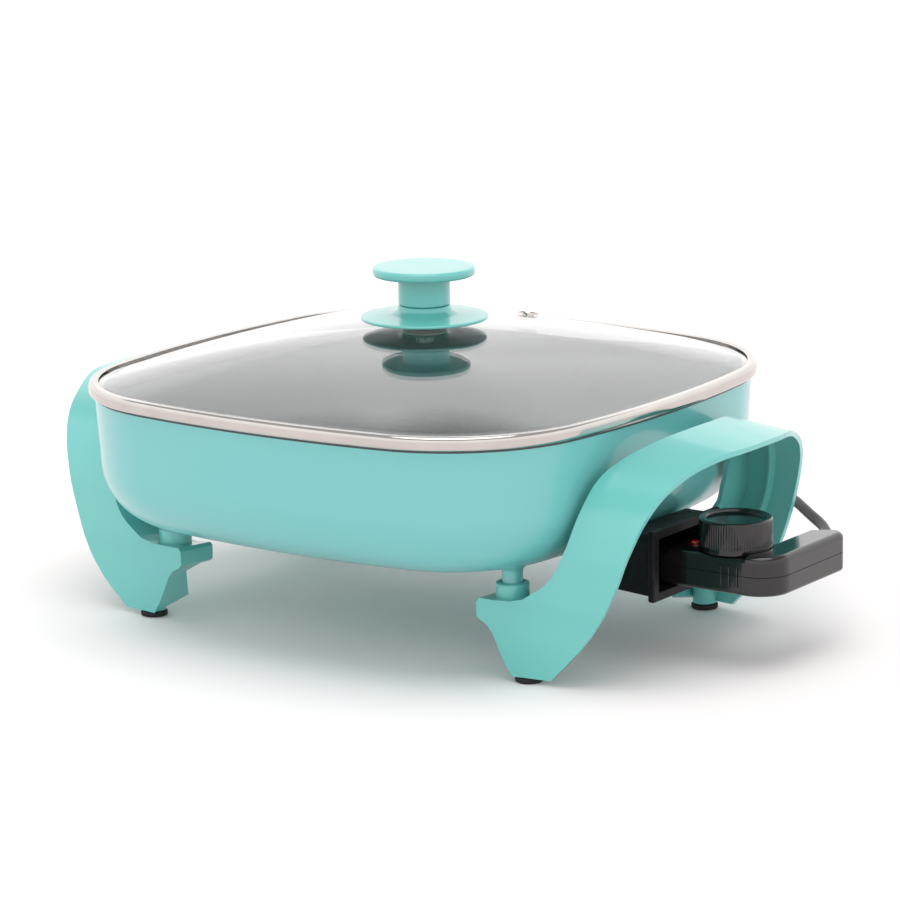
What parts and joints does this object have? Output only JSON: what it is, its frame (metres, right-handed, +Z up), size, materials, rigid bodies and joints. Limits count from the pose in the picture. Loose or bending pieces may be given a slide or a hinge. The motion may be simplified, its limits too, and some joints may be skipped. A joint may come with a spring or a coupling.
{
  "type": "electric skillet",
  "caption": "Square electric skillet with bowed sides, domed glass lid with knob, two flanged leg handles, and a plug-in heat control with dial and short cord.",
  "frame": {"origin": "on the surface that the rubber feet stand on, below the middle of the object without its cord; the pan's axis is 8.1 mm towards -X of it", "axes": "+Z up, +X towards the plug-in control, -Y towards the cook"},
  "size_m": [0.4298, 0.4565, 0.1874],
  "materials": {
    "turquoise": "glossy turquoise enamel",
    "stainless": "polished",
    "zinc_steel": "zinc plated",
    "element_steel": "matt heat-toned",
    "lid_glass": "clear tempered",
    "lamp_glass": "clear",
    "black_phenolic": "glossy black",
    "black_rubber": "matt black",
    "cord_jacket": "semi-gloss black",
    "silicone": "matt",
    "brass": "satin",
    "ceramic": "matt off-white ceramic",
    "red_lens": "translucent red"
  },
  "bodies": {
    "base": {"pan_body": "turquoise", "handle_left": "turquoise", "handle_right": "turquoise", "handle_screw_1": "zinc_steel", "handle_screw_2": "zinc_steel", "handle_screw_3": "zinc_steel", "handle_screw_4": "zinc_steel", "handle_washer_1": "zinc_steel", "handle_washer_2": "zinc_steel", "handle_washer_3": "zinc_steel", "handle_washer_4": "zinc_steel", "guard_screw_1": "zinc_steel", "guard_screw_2": "zinc_steel", "heating_element": "element_steel", "terminal_pin_1": "element_steel", "terminal_pin_2": "element_steel", "probe_guard": "black_phenolic", "foot_pad_1": "black_rubber", "foot_pad_2": "black_rubber", "foot_pad_3": "black_rubber", "foot_pad_4": "black_rubber", "terminal_insulator_1": "ceramic", "terminal_insulator_2": "ceramic"},
    "lid": {"lid_glass": "lid_glass", "lid_band": "stainless", "vent_grommet": "stainless", "knob_cap": "turquoise", "knob_base": "turquoise", "knob_gasket": "silicone", "under_gasket": "silicone", "under_washer": "stainless", "knob_screw": "stainless"},
    "control": {"control_housing_lower": "black_phenolic", "control_housing_upper": "black_phenolic", "sensor_probe": "element_steel", "contact_sleeve_1": "brass", "contact_sleeve_2": "brass", "bimetal_blade": "element_steel", "contact_arm_1": "brass", "contact_arm_2": "brass", "indicator_lamp": "lamp_glass", "indicator_lens": "red_lens", "housing_screw_1": "zinc_steel", "housing_screw_2": "zinc_steel", "housing_screw_3": "zinc_steel", "strain_relief": "black_rubber", "cord_run": "cord_jacket", "cord_coil": "cord_jacket", "plug_body": "black_rubber", "plug_blade_1": "brass", "plug_blade_2": "brass"},
    "dial": {"control_dial": "black_phenolic", "dial_shaft": "brass"}
  },
  "joints": [
    {"name": "lid_lift", "type": "slide", "parent": "base", "child": "lid", "axis": [0, 0, 1], "range_m": [0, 0.12]},
    {"name": "control_unplug", "type": "slide", "parent": "base", "child": "control", "axis": [1, 0, 0], "range_m": [0, 0.105]},
    {"name": "dial_turn", "type": "hinge", "parent": "control", "child": "dial", "pos_m": [0.1827, 0, 0.0596], "axis": [0, 0, 1], "range_deg": [0, 280]}
  ]
}
